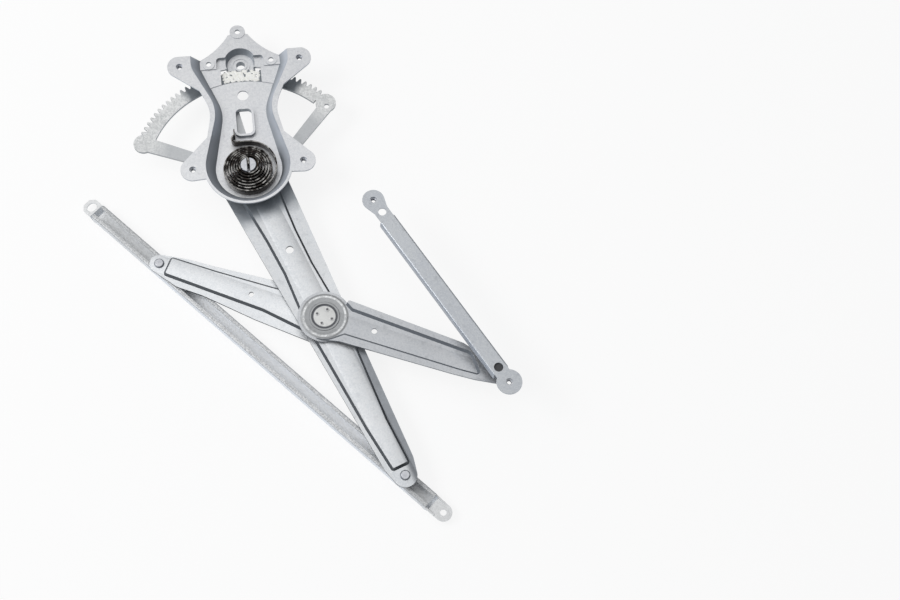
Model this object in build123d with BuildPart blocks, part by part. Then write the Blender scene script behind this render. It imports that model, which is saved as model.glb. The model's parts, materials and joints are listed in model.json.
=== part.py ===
"""X-arm window regulator for a car's front door: base plate, counterbalance spring, toothed sector and lift
arm, two-piece equalizer arm, guide rail and glass lift channel, in millimetres.

The origin lies on the lift arm's pivot, in the plane in which the base plate's ears meet the door panel. +Z points
out of that plane into the cabin, +X runs along the lift channel, and +Y points from the channel to the pivot."""

from math import atan2, cos, degrees, radians, sin, tan
import os

from build123d import *

os.makedirs("parts", exist_ok=True)

# ---------------------------------------------------------------- driving dimensions: the linkage
lift_reach = 180.0  # pivot to hub, and hub to guide roller
hub_reach = 178.5  # hub to lift roller, and hub to left roller
lift_angle = 21.8  # the lift arm at rest points this many degrees below +X
rail_angle = 13.9  # the loose guide rail droops this many degrees below +X

# ---------------------------------------------------------------- driving dimensions: sheet and layers
plate_sheet = 2.0
arm_sheet = 2.5
channel_sheet = 1.5
sector_sheet = 2.8
arm_gap = 0.8  # between pressings that sweep past each other
sector_gap = 0.6  # sector under the plate's floor
rail_clearance = 0.5  # guide rail above the mounting plane
crown_rise = 3.0  # height of the pressed crown or recess of each arm
crown_run = 2.4  # width of the slope round a crown

# ---------------------------------------------------------------- driving dimensions: base plate
plate_axis = 138.35  # direction of the plate's line of symmetry
pan_depth = 12.5
dish_radius = 34.0  # flat floor round the spring
dish_shift = 1.0
dish_slope = 9.0  # run of the wall round the dish
waist_reach = 70.0
waist_half = 20.5
waist_slope = 5.0
waist_round = 45.0
head_reach = 124.0
head_half = 41.0  # half the width of the flat floor at the head
head_corner = 12.0
head_slope = 10.0
head_end = 133.6  # the walls and the flange stop here
flange_width = 6.0
dish_flange = 2.5
upper_ear_reach = 121.5
upper_ear_half = 63.0
lower_ear_reach = -1.0
lower_ear_half = 56.4
ear_radius = 12.5
ear_web_reach = 90.0  # where the upper ears' lower edges start
ear_web_half = 35.0
low_web_reach = 40.0
low_web_half = 26.0
ear_hole_radius = 3.5
terrace_rise = 0.7  # step of the floor over the sector's rim
seat_rise = 1.6  # motor seat above the floor
seat_start = 121.8
seat_end = 131.5
top_ear_reach = 165.7
top_ear_radius = 8.2
ledge_width = 2.2  # lower edge along the seat's hollow sides
ledge_drop = 0.9
motor_screw_reach = 128.1
motor_screw_half = 33.0
motor_screw_radius = 2.9
screw_pad_radius = 6.5
screw_pad_rise = 0.6
locating_hole_reach = 88.0
locating_hole_radius = 5.9
window_reach = 54.8
window_shift = 0.6
window_length = 29.5
window_width = 16.5
window_corner = 4.5
collar_wall = 2.4
collar_rise = 4.0

# ---------------------------------------------------------------- driving dimensions: gearing and pinion cup
module = 2.0
full_circle_teeth = 119
sector_teeth = 36
sector_middle = 148.1  # direction of the middle of the toothed arc
pinion_teeth = 10
rim_width = 12.5
cup_radius = 15.2
cup_slope = 1.2
cup_clearance = 2.2  # cup's floor behind the sector
pocket_half = 25.0  # shallow recess on both sides of the cup
pocket_end = 135.3
pocket_depth = 3.6
pocket_corner = 4.0
bearing_radius = 4.8
bearing_wall = 2.2
bearing_length = 5.0
bead_radius = 10.0
bead_rise = 0.6
left_lobe_angle = 206.6
left_lobe_reach = 114.0
left_lobe_radius = 10.5
right_lobe_angle = 88.5
right_lobe_reach = 112.6
right_lobe_radius = 10.7
passage_clearance = 0.9  # between the sector and the slot that it sweeps through
lobe_hole_radius = 2.9
lobe_hole_angle = 86.6
lobe_hole_reach = 110.3
sector_hub_radius = 29.0
spoke_half = 6.5
rivet_count = 3
rivet_circle = 14.5
rivet_radius = 2.5

# ---------------------------------------------------------------- driving dimensions: spring and arbor
spring_turns = 7
spring_start = 9.4
spring_growth_near = 1.94  # per turn, on the side of the window
spring_growth_far = 3.3
spring_exit = 28.0
hook_reach = 43.0
strip_thickness = 1.3
strip_height = 9.0
slot_width = 3.0
arbor_head_radius = 8.2
arbor_head_top = -0.8
arbor_shank_radius = 7.0
arbor_tail_radius = 6.0
arbor_rivet_radius = 9.0
arbor_rivet_height = 2.2
bush_wall = 2.0
bush_flange = 0.8
bush_flange_width = 2.2
running_clearance = 0.05

# ---------------------------------------------------------------- driving dimensions: arms, studs and rollers
lift_root_radius = 34.3
lift_tip_radius = 11.8
rear_root_radius = 26.0
rear_tip_radius = 9.8
front_tip_radius = 8.7
crown_corner = 3.6  # rounding of a crown's square end
front_disc_radius = 24.5
front_step = 9.2  # the front half's flange starts here
front_step_lean = 18.8  # lean of that start
hub_journal_radius = 11.0
hub_stake_circle = 7.8
hub_stake_radius = 2.0
hub_stake_count = 4
hub_stake_head = 0.5
hub_ridge_radius = 21.0  # blunt ridge pressed round the hub
hub_ridge_rise = 0.8
hub_valley_radius = 16.2
hub_ring_radius = 15.4
hub_ring_width = 2.8
hub_ring_rise = 0.5
lift_hole_reach = 98.0
lift_hole_radius = 4.1
rear_hole_reach = 78.5
rear_hole_radius = 2.7
front_hole_reach = 51.7
crown_wall = 0.6  # keeps the sheet full on the slopes of a crown
pivot_washer_thickness = 1.0
washer_thickness = 0.5
washer_radius = 17.0
roller_clearance = 0.3
stud_radius = 3.0
stud_collar_radius = 3.9
stud_cap = 1.5  # blind wall of a roller beyond its stud
rivet_head_radius = 5.0
rivet_head_height = 2.0

# ---------------------------------------------------------------- driving dimensions: channel and rail
channel_width = 17.4
channel_height = 12.0
channel_lip = 4.0
channel_bend = 2.0
channel_left = -88.0
channel_right = 366.0
channel_cheek = 11.0  # low ends of the side walls, beside the right tab
cheek_rise = 1.4  # cheek above the tab
tab_rise = 5.5
tab_ramp = 4.0
tab_length = 25.0
left_tab_length = 17.5
left_tab_chamfer = 4.5
left_tab_hole = 7.8  # from the tab's end
tab_hole_radius = 3.2
tab_slot_length = 10.5
tab_slot_radius = 4.2
rail_width = 17.4
rail_height = 11.0
rail_inner_reach = 190.0  # rail's walls from the guide roller at rest, towards the plate
rail_outer_reach = 4.0
rail_neck_half = 7.5
rail_upper_nut_reach = 215.2
rail_lower_nut_reach = 17.8
rail_upper_end_radius = 11.2
rail_lower_end_radius = 12.6
rail_service_reach = 199.2
rail_service_radius = 4.1
rail_sight_radius = 4.6
nut_flat = 10.0
nut_height = 5.0
nut_bore_radius = 2.5

# ---------------------------------------------------------------- layers, from the mounting plane down
floor_top = -pan_depth
floor_bottom = floor_top - plate_sheet
sector_top = floor_bottom - sector_gap
lift_crown_top = sector_top - sector_sheet
lift_top = lift_crown_top - crown_rise
lift_bottom = lift_top - arm_sheet
rear_crown_top = lift_bottom - arm_gap
rear_top = rear_crown_top - crown_rise
rear_bottom = rear_top - arm_sheet
channel_top = rear_bottom - arm_gap
channel_back = channel_top - channel_height
front_disc_bottom = lift_crown_top + arm_gap
front_bottom = front_disc_bottom + crown_rise
front_top = front_bottom + arm_sheet
rail_lips = rail_clearance
rail_top = rail_lips + rail_height

# ---------------------------------------------------------------- places of the linkage
hub_x = lift_reach * cos(radians(lift_angle))
hub_y = -lift_reach * sin(radians(lift_angle))
arm_length = lift_reach + hub_reach
lift_x = arm_length * cos(radians(lift_angle))
lift_y = -arm_length * sin(radians(lift_angle))
left_x = hub_x - hub_reach * cos(radians(lift_angle))
guide_x = 2 * lift_reach * cos(radians(lift_angle))
guide_y = 0.0


def level(z, x=0.0, y=0.0, turn=0.0):
    """The plane at height z with its origin at x, y and its X axis turned from the part's."""
    return Plane(origin=(x, y, z), x_dir=(cos(radians(turn)), sin(radians(turn)), 0), z_dir=(0, 0, 1))


def plate_level(z):
    return level(z, turn=plate_axis)


def lift_level(z):
    return level(z, turn=-lift_angle)


def rear_level(z):
    return level(z, hub_x, hub_y, 180 + lift_angle)


def front_level(z):
    return level(z, hub_x, hub_y, lift_angle)


def rail_level(z):
    return level(z, guide_x, guide_y, -rail_angle)


def strap(*circles):
    """The outline that a belt makes round circles, each given as (x, y, radius)."""
    with BuildSketch() as outline:
        for x, y, radius in circles:
            with Locations((x, y)):
                Circle(radius)
        make_hull()
    return outline.sketch


def tapered_bar(*circles):
    """An outline that runs from circle to circle, with straight sides between neighbours."""
    with BuildSketch() as outline:
        for start, end in zip(circles, circles[1:]):
            add(strap(start, end))
    return outline.sketch


def placed(plane, *outlines):
    """Outlines laid on a plane as one sketch."""
    with BuildSketch(plane) as face:
        for outline in outlines:
            add(outline)
    return face.sketch


def discs(plane, *circles):
    """Round faces on a plane, each (x, y, radius)."""
    with BuildSketch(plane) as face:
        for x, y, radius in circles:
            with Locations((x, y)):
                Circle(radius)
    return face.sketch


def widened(circles, change):
    return [(x, y, radius + change) for x, y, radius in circles]


def press(frame, low, high, low_circles, high_circles, mode=Mode.ADD):
    """A form between two heights whose outlines are belts round low_circles and high_circles."""
    loft([placed(frame(low), strap(*low_circles)), placed(frame(high), strap(*high_circles))], ruled=True, mode=mode)


def crown_outline(circles, end, grown):
    """The outline of a crown, widened by grown; where end is a reach, it stops square there with round corners."""
    with BuildSketch() as outline:
        add(tapered_bar(*widened(circles, grown)))
        if end is not None:
            with Locations((end + grown, 0)):
                Rectangle(end, end, align=(Align.MIN, Align.CENTER), mode=Mode.SUBTRACT)
            fillet(outline.vertices().sort_by(Axis.X)[-2:], crown_corner + grown)
    return outline.sketch


def crown(circles, end, frame, height, rise, grown=0, mode=Mode.ADD):
    """The crown of a pressed arm: a slope all round, from its foot at height to its top or bottom by rise."""
    foot = placed(frame(height), crown_outline(circles, end, grown))
    face = placed(frame(height + rise), crown_outline(circles, end, grown - crown_run))
    loft([foot, face] if rise > 0 else [face, foot], ruled=True, mode=mode)


def drill(frame, height, depth, *holes):
    """Round holes, each (x, y, radius), down from height."""
    extrude(discs(frame(height), *holes), amount=-depth, mode=Mode.SUBTRACT)


def weld_place(reach, half):
    """Part coordinates of a point given along and across the plate's axis."""
    along, across = radians(plate_axis), radians(plate_axis + 90)
    return reach * cos(along) + half * cos(across), reach * sin(along) + half * sin(across)


def finish(piece, name):
    piece.part.label = name
    export_step(piece.part, f"parts/{name}.step")


# ================================================================ base plate
pan_wall = plate_sheet * 0.4
pinion_reach = module * (full_circle_teeth + pinion_teeth) / 2
cup_floor = lift_crown_top - cup_clearance
tip_radius = module * (full_circle_teeth / 2 + 1)
root_radius = module * (full_circle_teeth / 2 - 1.25)
mouth_radius = tip_radius + passage_clearance
passage_radius = max(tip_radius, right_lobe_reach + right_lobe_radius) + passage_clearance
rim_inner_radius = root_radius - rim_width
terrace_radius = rim_inner_radius + 0.7
seat_half = head_half + 1.4
seat_top = floor_top + seat_rise
motor_face = seat_top + screw_pad_rise
motor_holes = [(top_ear_reach, 0), (motor_screw_reach, motor_screw_half), (motor_screw_reach, -motor_screw_half)]
ear_places = [
    (upper_ear_reach, upper_ear_half),
    (upper_ear_reach, -upper_ear_half),
    (lower_ear_reach, lower_ear_half),
    (lower_ear_reach, -lower_ear_half),
]
bush_radius = arbor_shank_radius + bush_wall


def pan_outline(plane, dish, waist, head, corner):
    """The hourglass outline of the pan: round dish, waist and head, with hollow sides."""
    with BuildSketch(plane) as outline:
        add(strap((dish_shift, 0, dish), (waist_reach, 0, waist)))
        near = [(head_reach, side * (head - corner), corner) for side in (1, -1)]
        far = [(1.5 * head_reach, side * (head - corner), corner) for side in (1, -1)]
        add(strap((waist_reach, 0, waist), *near, *far))
        fillet(outline.vertices().sort_by_distance((waist_reach, 0))[:2], waist_round)
    return outline.sketch


def floor_outline(plane, grown):
    return pan_outline(plane, dish_radius + grown, waist_half + grown, head_half + grown, head_corner + grown)


def mouth_outline(plane, grown):
    return pan_outline(
        plane,
        dish_radius + dish_slope + grown,
        waist_half + waist_slope + grown,
        head_half + head_slope + grown,
        head_corner + head_slope + grown,
    )


def pan(top, bottom, grown, mode):
    """The drawn pan, from its floor at bottom to its mouth at top."""
    loft([floor_outline(plate_level(bottom), grown), mouth_outline(plate_level(top), grown)], ruled=True, mode=mode)


def seat_outline(grown):
    """The motor seat: a band across the head whose hollow sides run up to the top ear."""
    foot = (seat_end, seat_half)
    hollow = (143.3 / 131.5 * seat_end, 0.575 * seat_half)
    ear_foot = (top_ear_reach - 2.5, top_ear_radius)
    with BuildSketch() as seat:
        with BuildLine():
            Line((seat_start, -foot[1]), (seat_start, foot[1]))
            Line((seat_start, foot[1]), (foot[0] + grown, foot[1]))
            ThreePointArc(
                (foot[0] + grown, foot[1]),
                (hollow[0] + 0.8 * grown, hollow[1] + 0.6 * grown),
                (ear_foot[0], ear_foot[1] + grown),
            )
            Line((ear_foot[0], ear_foot[1] + grown), (ear_foot[0], -ear_foot[1] - grown))
            ThreePointArc(
                (ear_foot[0], -ear_foot[1] - grown),
                (hollow[0] + 0.8 * grown, -hollow[1] - 0.6 * grown),
                (foot[0] + grown, -foot[1]),
            )
            Line((foot[0] + grown, -foot[1]), (seat_start, -foot[1]))
        make_face()
    return seat.sketch


with BuildPart() as base_plate:
    # flange and ears in the mounting plane
    with BuildSketch(plate_level(-plate_sheet)):
        add(
            pan_outline(
                Plane.XY,
                dish_radius + dish_slope + dish_flange,
                waist_half + waist_slope + flange_width,
                head_half + head_slope + flange_width,
                head_corner + head_slope,
            )
        )
        for side in (1, -1):
            ear = (upper_ear_reach, side * upper_ear_half, ear_radius)
            inner = (upper_ear_reach, side * (head_half + 4), ear_radius)
            add(strap(ear, inner, (ear_web_reach, side * ear_web_half, 5)))
            low_ear = (lower_ear_reach, side * lower_ear_half, ear_radius)
            add(strap(low_ear, (low_web_reach, side * low_web_half, 6), (dish_shift - 4, side * dish_radius, 9)))
        with Locations((head_end / 2 - 40, 0)):
            Rectangle(head_end + 80, 4 * head_half, mode=Mode.INTERSECT)
    extrude(amount=plate_sheet)
    # drawn pan: its outside, then its hollow, both cut off at the open end of the head
    pan(-plate_sheet, floor_bottom, pan_wall, Mode.ADD)
    pan(0, floor_top, 0, Mode.SUBTRACT)
    with BuildSketch(plate_level(floor_bottom)):
        with Locations((1.5 * head_end, 0)):
            Rectangle(head_end, 8 * head_half)
        with Locations((seat_start + head_end / 2, 0)):
            Rectangle(head_end, 2 * head_half)
    extrude(amount=pan_depth + plate_sheet, mode=Mode.SUBTRACT)
    # terrace over the sector's rim
    for height, grown, inner, mode in ((floor_bottom, -1, 2, Mode.SUBTRACT), (floor_top, 0.6, 0, Mode.ADD)):
        with BuildSketch(plate_level(height)):
            add(floor_outline(Plane.XY, grown))
            Circle(terrace_radius + inner, mode=Mode.SUBTRACT)
            with Locations((seat_start / 2, 0)):
                Rectangle(seat_start, 4 * head_half, mode=Mode.INTERSECT)
        extrude(amount=terrace_rise, mode=mode)
    # motor seat with its low edges, the top ear and the three screw pads
    extrude(placed(plate_level(seat_top - plate_sheet), seat_outline(0)), amount=plate_sheet)
    with BuildSketch(plate_level(seat_top - ledge_drop - plate_sheet)):
        add(seat_outline(ledge_width))
        with Locations((seat_start, 0)):
            Rectangle(2 * (seat_end - seat_start - 1), 4 * head_half, mode=Mode.SUBTRACT)
        add(seat_outline(-0.8), mode=Mode.SUBTRACT)
    extrude(amount=plate_sheet)
    extrude(discs(plate_level(seat_top - plate_sheet), (top_ear_reach, 0, top_ear_radius)), amount=plate_sheet)
    pads = [(*motor_holes[0], top_ear_radius), *[(*place, screw_pad_radius) for place in motor_holes[1:]]]
    extrude(discs(plate_level(seat_top), *pads), amount=screw_pad_rise)
    # drawn collar round the window, which anchors the spring
    with BuildSketch(plate_level(floor_top)):
        with Locations((window_reach, window_shift)):
            RectangleRounded(window_length + 2 * collar_wall, window_width + 2 * collar_wall, window_corner + 2)
    extrude(amount=collar_rise)
    with BuildSketch(plate_level(floor_top + collar_rise)):
        with Locations((window_reach, window_shift)):
            RectangleRounded(window_length, window_width, window_corner)
    extrude(amount=-(collar_rise + plate_sheet), mode=Mode.SUBTRACT)
    # pockets and pinion cup, then their hollows
    pocket_floor = seat_top - pocket_depth
    cup = (pinion_reach, 0, cup_radius)
    pocket_passes = ((plate_sheet * 0.8, pocket_floor - plate_sheet, Mode.ADD), (0, pocket_floor, Mode.SUBTRACT))
    for wall, height, mode in pocket_passes:
        with BuildSketch(plate_level(height)):
            with Locations((pocket_end - 12, 0)):
                RectangleRounded(24 + 2 * wall, 2 * (pocket_half + wall), pocket_corner + wall)
            with Locations((seat_start - 25, 0)):
                Rectangle(50, 4 * pocket_half, mode=Mode.SUBTRACT)
        extrude(amount=seat_top - height, mode=mode)
    press(plate_level, cup_floor - plate_sheet, seat_top, widened([cup], 0.4), widened([cup], cup_slope + 1.6))
    press(plate_level, cup_floor, seat_top, widened([cup], -cup_slope), widened([cup], cup_slope), Mode.SUBTRACT)
    with BuildSketch(plate_level(pocket_floor)):
        with Locations((pocket_end - 12, 0)):
            RectangleRounded(24, 2 * pocket_half, pocket_corner)
        with Locations((seat_start - 25, 0)):
            Rectangle(50, 4 * pocket_half, mode=Mode.SUBTRACT)
    extrude(amount=pocket_depth, mode=Mode.SUBTRACT)
    boss = (pinion_reach, 0, bearing_radius + bearing_wall)
    boss_bottom = cup_floor - plate_sheet - bearing_length
    extrude(discs(plate_level(boss_bottom), boss), amount=bearing_length + plate_sheet + 0.7)
    with BuildSketch(plate_level(cup_floor)):
        with Locations((pinion_reach, 0)):
            Circle(bead_radius)
            Circle(bead_radius - 1.8, mode=Mode.SUBTRACT)
    extrude(amount=bead_rise)
    # the sector's passage through the cup, and the opening in the floor over its teeth
    with BuildSketch(level(lift_crown_top - 0.6)):
        Circle(passage_radius)
        Circle(rim_inner_radius - 2, mode=Mode.SUBTRACT)
    extrude(amount=floor_bottom - lift_crown_top + 0.6, mode=Mode.SUBTRACT)
    with BuildSketch(plate_level(floor_bottom)):
        Circle(mouth_radius)
        Circle(terrace_radius, mode=Mode.SUBTRACT)
        with Locations((pinion_reach, 0)):
            Rectangle(2 * pinion_reach, 2 * (cup_radius + 6), mode=Mode.INTERSECT)
    extrude(amount=plate_sheet + terrace_rise + 1, mode=Mode.SUBTRACT)
    # holes
    drill(plate_level, 0, plate_sheet + 1, *[(*place, ear_hole_radius) for place in ear_places])
    motor_drills = [(*place, motor_screw_radius) for place in motor_holes]
    drill(plate_level, motor_face, plate_sheet + screw_pad_rise + 1, *motor_drills)
    drill(plate_level, floor_top, plate_sheet, (locating_hole_reach, 0, locating_hole_radius))
    drill(plate_level, 0, 40, (pinion_reach, 0, bearing_radius))
    drill(plate_level, floor_top, plate_sheet, (0, 0, bush_radius))
finish(base_plate, "base_plate")

# ================================================================ weld nuts on the ears
for name, (reach, half) in zip(("upper_left", "upper_right", "lower_left", "lower_right"), ear_places):
    with BuildPart() as ear_nut:
        with BuildSketch(level(-plate_sheet - nut_height, *weld_place(reach, half), plate_axis)):
            RegularPolygon(nut_flat / 2, 6, major_radius=False)
            Circle(nut_bore_radius, mode=Mode.SUBTRACT)
        extrude(amount=nut_height)
    finish(ear_nut, f"ear_nut_{name}")

# ================================================================ bush and spring
bush_bore = arbor_shank_radius + running_clearance
bush_top = floor_top + bush_flange
with BuildPart() as arbor_bush:
    with BuildSketch(plate_level(floor_bottom)):
        Circle(bush_radius)
    extrude(amount=plate_sheet)
    with BuildSketch(plate_level(floor_top)):
        Circle(bush_radius + bush_flange_width)
    extrude(amount=bush_flange)
    drill(plate_level, bush_top, bush_flange + plate_sheet, (0, 0, bush_bore))
finish(arbor_bush, "arbor_bush")

spring_bottom = bush_top + 0.4
hook_line = window_shift + window_width / 2 + collar_wall + strip_thickness / 2 + 0.1
bend = 2.5
with BuildPart() as spiral_spring:
    with BuildSketch(plate_level(spring_bottom)):
        with BuildLine() as strip:
            Line((1.5, 0), (spring_start - bend, 0))
            ThreePointArc(
                (spring_start - bend, 0),
                (spring_start - bend * (1 - sin(radians(45))), bend * (1 - cos(radians(45)))),
                (spring_start, bend),
            )
            near, far = spring_start, spring_start
            start = (near, bend)
            for turn in range(spring_turns):
                middle = (near - far) / 2
                ThreePointArc(start, (middle, (near + far) / 2), (-far, 0))
                near += spring_growth_near
                if turn == spring_turns - 1:
                    near = spring_exit
                ThreePointArc((-far, 0), ((near - far) / 2, -(near + far) / 2), (near, 0))
                far += spring_growth_far
                start = (near, 0)
            Line((spring_exit, 0), (spring_exit, hook_line - 2))
            ThreePointArc(
                (spring_exit, hook_line - 2),
                ((spring_exit + hook_reach - 7) / 2, hook_line + 3),
                (hook_reach - 7, hook_line),
            )
            Line((hook_reach - 7, hook_line), (hook_reach, hook_line))
        trace(line_width=strip_thickness)
    extrude(amount=strip_height)
finish(spiral_spring, "spiral_spring")

# ================================================================ arbor, sector and rivets
sector_start = sector_middle - 180 * (sector_teeth - 1) / full_circle_teeth
pitch_radius = module * full_circle_teeth / 2
base_radius = pitch_radius * cos(radians(20))


def flank_angle(radius):
    """Half the angle that a tooth spans at a radius, for an involute flank of 20 degrees."""
    at_pitch = tan(radians(20)) - radians(20)
    pressure = tan(atan2((radius**2 - base_radius**2) ** 0.5, base_radius)) - atan2(
        (radius**2 - base_radius**2) ** 0.5, base_radius
    )
    return 1.5 * 60 / full_circle_teeth + degrees(at_pitch - pressure) - 0.03


def on_flank(radius, side):
    angle = radians(side * flank_angle(radius))
    return radius * cos(angle), radius * sin(angle)


with BuildPart() as sector_gear:
    with BuildSketch(level(lift_crown_top)) as face:
        # toothed rim
        first = sector_start - 180 / full_circle_teeth
        last = first + 360 * sector_teeth / full_circle_teeth
        with BuildLine():
            rim = CenterArc((0, 0), root_radius, first, last - first)
            inner = CenterArc((0, 0), rim_inner_radius, first, last - first)
            Line(rim @ 0, inner @ 0)
            Line(rim @ 1, inner @ 1)
        make_face()
        with BuildSketch(mode=Mode.PRIVATE) as tooth:
            with BuildLine():
                foot = root_radius - 0.8
                right = ThreePointArc(*[on_flank(radius, -1) for radius in (root_radius, pitch_radius, tip_radius)])
                left = ThreePointArc(*[on_flank(radius, 1) for radius in (root_radius, pitch_radius, tip_radius)])
                ThreePointArc(right @ 1, (tip_radius, 0), left @ 1)
                Polyline(left @ 0, (foot, (left @ 0).Y), (foot, (right @ 0).Y), right @ 0)
            make_face()
        with PolarLocations(0, sector_teeth, sector_start, 360 * (sector_teeth - 1) / full_circle_teeth, endpoint=True):
            add(tooth.sketch)
        # lobes, spokes and hub
        left_lobe = (
            left_lobe_reach * cos(radians(left_lobe_angle)),
            left_lobe_reach * sin(radians(left_lobe_angle)),
            left_lobe_radius,
        )
        right_lobe = (
            right_lobe_reach * cos(radians(right_lobe_angle)),
            right_lobe_reach * sin(radians(right_lobe_angle)),
            right_lobe_radius,
        )
        for x, y, radius in (left_lobe, right_lobe):
            with Locations((x, y)):
                Circle(radius)
        left_waist = (0.45 * left_lobe[0], 0.5 * left_lobe[1], 6.2)
        add(tapered_bar((left_lobe[0], left_lobe[1], 8), left_waist, (0, 0, 8)))
        right_waist = (13, 0.5 * right_lobe[1], 6.2)
        add(tapered_bar((right_lobe[0] + 3, right_lobe[1] - 4, 7.2), right_waist, (14, 8, 8)))
        reach = rim_inner_radius + rim_width / 2
        middle = (reach * cos(radians(sector_middle)), reach * sin(radians(sector_middle)))
        spoke_waist = (0.6 * middle[0], 0.6 * middle[1], spoke_half)
        add(tapered_bar((*middle, spoke_half + 2), spoke_waist, (0, 0, spoke_half + 2)))
        Circle(sector_hub_radius)
        # holes
        Circle(arbor_tail_radius, mode=Mode.SUBTRACT)
        with PolarLocations(rivet_circle, rivet_count, 30):
            Circle(rivet_radius, mode=Mode.SUBTRACT)
        with PolarLocations(lobe_hole_reach, 1, lobe_hole_angle):
            Circle(lobe_hole_radius, mode=Mode.SUBTRACT)
    extrude(amount=sector_sheet)
finish(sector_gear, "sector_gear")

rivet_bottom = lift_crown_top - arm_sheet
for number in range(rivet_count):
    with BuildPart() as sector_rivet:
        with BuildSketch(level(rivet_bottom)):
            with PolarLocations(rivet_circle, 1, 30 + number * 360 / rivet_count):
                Circle(rivet_radius)
        extrude(amount=sector_top - rivet_bottom)
        with BuildSketch(level(rivet_bottom - rivet_head_height)):
            with PolarLocations(rivet_circle, 1, 30 + number * 360 / rivet_count):
                Circle(rivet_radius + 1.5)
        extrude(amount=rivet_head_height)
        chamfer(sector_rivet.faces().sort_by(Axis.Z)[0].edges(), 0.7)
    finish(sector_rivet, f"sector_rivet_{number + 1}")

arbor_seat = bush_top + roller_clearance
washer_bottom = lift_crown_top - arm_sheet - pivot_washer_thickness
with BuildPart() as pivot_arbor:
    with BuildSketch(Plane.XZ):
        with BuildLine():
            Polyline(
                (0, washer_bottom - arbor_rivet_height),
                (arbor_rivet_radius, washer_bottom - arbor_rivet_height),
                (arbor_rivet_radius, washer_bottom),
                (arbor_tail_radius, washer_bottom),
                (arbor_tail_radius, sector_top),
                (arbor_shank_radius, sector_top),
                (arbor_shank_radius, arbor_seat),
                (arbor_head_radius, arbor_seat),
                (arbor_head_radius, arbor_head_top),
                (0, arbor_head_top),
                close=True,
            )
        make_face()
    revolve(axis=Axis.Z)
    chamfer(pivot_arbor.faces().sort_by(Axis.Z)[-1].edges(), 0.6)
    chamfer(pivot_arbor.faces().sort_by(Axis.Z)[0].edges(), 0.8)
    with BuildSketch(plate_level(arbor_head_top)):
        Rectangle(4 * arbor_head_radius, slot_width)
    extrude(amount=-(arbor_head_top - spring_bottom + roller_clearance), mode=Mode.SUBTRACT)
finish(pivot_arbor, "pivot_arbor")

with BuildPart() as pivot_washer:
    with BuildSketch(level(washer_bottom)):
        Circle(arbor_rivet_radius + 1.5)
        Circle(arbor_tail_radius, mode=Mode.SUBTRACT)
    extrude(amount=pivot_washer_thickness)
finish(pivot_washer, "pivot_washer")

# ================================================================ lift arm
lift_outline = [(0, -0.7, lift_root_radius), (arm_length - 15, 0, 15.3), (arm_length, 0, lift_tip_radius)]
lift_crown = [
    (0, -0.8, 22.5),
    (0.44 * lift_reach, -0.8, 16.8),
    (lift_reach - 60, -0.6, 15.9),
    (lift_reach, -1.0, 19.4),
    (lift_reach + 45, -1.2, 16.6),
    (arm_length - 58, -2.1, 12.0),
    (arm_length, 0.6, 9.4),
]
lift_crown_end = arm_length - 8.2
with BuildPart() as lift_arm:
    extrude(placed(lift_level(lift_bottom), tapered_bar(*lift_outline)), amount=arm_sheet)
    crown(lift_crown, lift_crown_end, lift_level, lift_top, crown_rise)
    crown(lift_crown, lift_crown_end, lift_level, lift_bottom, crown_rise, -crown_wall, Mode.SUBTRACT)
    drill(
        lift_level,
        lift_crown_top,
        crown_rise + arm_sheet,
        (0, 0, arbor_tail_radius),
        (lift_hole_reach, 0, lift_hole_radius),
        (lift_reach, 0, hub_journal_radius + running_clearance),
        (arm_length, 0, stud_radius),
    )
    with BuildSketch(level(lift_crown_top)):
        with PolarLocations(rivet_circle, rivet_count, 30):
            Circle(rivet_radius)
    extrude(amount=-arm_sheet, mode=Mode.SUBTRACT)
finish(lift_arm, "lift_arm")

# ================================================================ hub
with BuildPart() as hub_collar:
    extrude(discs(front_level(rear_crown_top), (0, 0, hub_journal_radius)), amount=front_disc_bottom - rear_crown_top)
    with BuildSketch(front_level(rear_crown_top - arm_sheet - hub_stake_head)):
        with PolarLocations(hub_stake_circle, hub_stake_count):
            Circle(hub_stake_radius)
    extrude(amount=front_disc_bottom - rear_crown_top + 2 * (arm_sheet + hub_stake_head))
finish(hub_collar, "hub_collar")

for name, height in (("front", front_disc_bottom - washer_thickness), ("rear", rear_crown_top)):
    with BuildPart() as hub_washer:
        with BuildSketch(front_level(height)):
            Circle(washer_radius)
            Circle(hub_journal_radius, mode=Mode.SUBTRACT)
        extrude(amount=washer_thickness)
    finish(hub_washer, f"hub_washer_{name}")

# ================================================================ equalizer arm, rear half
rear_outline = [
    (0, 0, rear_root_radius),
    (0.36 * hub_reach, 0, 22.8),
    (hub_reach - 55, 0.2, 16.7),
    (hub_reach - 28, 1.3, 15.8),
    (hub_reach, 0, rear_tip_radius),
]
rear_crown = [(0, 0, 20.0), (0.34 * hub_reach, -1.8, 14.2), (hub_reach - 58, -0.6, 11.9), (hub_reach, -0.2, 10.6)]
rear_crown_end = hub_reach - 8.3
with BuildPart() as equalizer_rear_arm:
    extrude(placed(rear_level(rear_bottom), tapered_bar(*rear_outline)), amount=arm_sheet)
    crown(rear_crown, rear_crown_end, rear_level, rear_top, crown_rise)
    crown(rear_crown, rear_crown_end, rear_level, rear_bottom, crown_rise, -crown_wall, Mode.SUBTRACT)
    drill(
        rear_level,
        rear_crown_top,
        crown_rise + arm_sheet,
        (rear_hole_reach, 0, rear_hole_radius),
        (hub_reach, 0, stud_radius),
    )
    with BuildSketch(front_level(rear_crown_top)):
        with PolarLocations(hub_stake_circle, hub_stake_count):
            Circle(hub_stake_radius)
    extrude(amount=-arm_sheet, mode=Mode.SUBTRACT)
finish(equalizer_rear_arm, "equalizer_rear_arm")

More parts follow.
